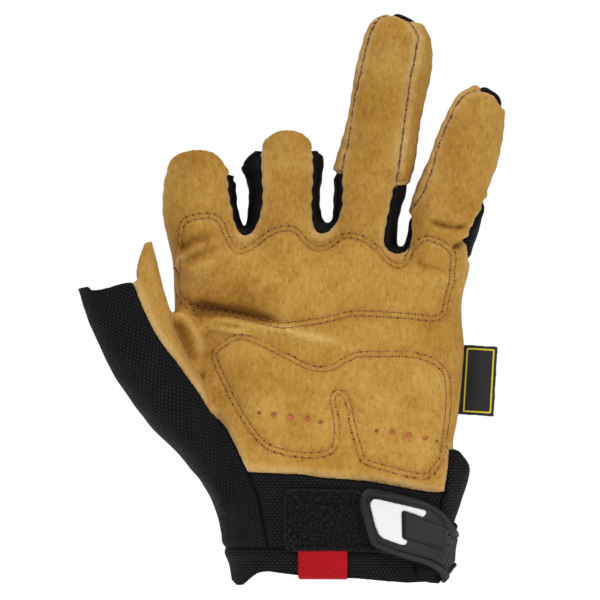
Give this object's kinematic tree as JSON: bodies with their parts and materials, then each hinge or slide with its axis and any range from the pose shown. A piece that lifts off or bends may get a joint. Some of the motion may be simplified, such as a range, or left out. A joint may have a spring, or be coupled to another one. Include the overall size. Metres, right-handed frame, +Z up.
{
  "type": "mechanic glove",
  "caption": "Left-hand tan suede leather work glove with open thumb, index and middle fingers, padded palm and a moulded wrist closure.",
  "frame": {"origin": "middle of the wrist opening, in the plane of the hem", "axes": "+Z up the hand towards the fingertips, palm side towards -Y, thumb towards -X"},
  "size_m": [0.1611, 0.0634, 0.2127],
  "materials": {
    "suede_leather": "napped matte",
    "knit_fabric": "matte knit",
    "stretch_fabric": "smooth stretch",
    "loop_pile": "fuzzy pile",
    "rubber_tab": "satin",
    "white_inlay": "satin",
    "red_webbing": "twill",
    "label_cloth": "woven satin"
  },
  "bodies": {
    "root": {"palm_leather": "suede_leather", "ring_side_inner": "suede_leather", "ring_side_outer": "suede_leather", "little_side": "suede_leather", "fourchette_index_middle": "stretch_fabric", "fourchette_middle_ring": "stretch_fabric", "fourchette_ring_little": "stretch_fabric", "thumb_panel": "knit_fabric", "back_panel": "knit_fabric", "cuff_front": "knit_fabric", "hem_binding": "knit_fabric", "loop_patch": "loop_pile", "closure_tab": "rubber_tab", "tab_insert": "white_inlay", "tab_badge": "rubber_tab", "pull_tab": "red_webbing", "side_label": "label_cloth"}
  },
  "joints": []
}
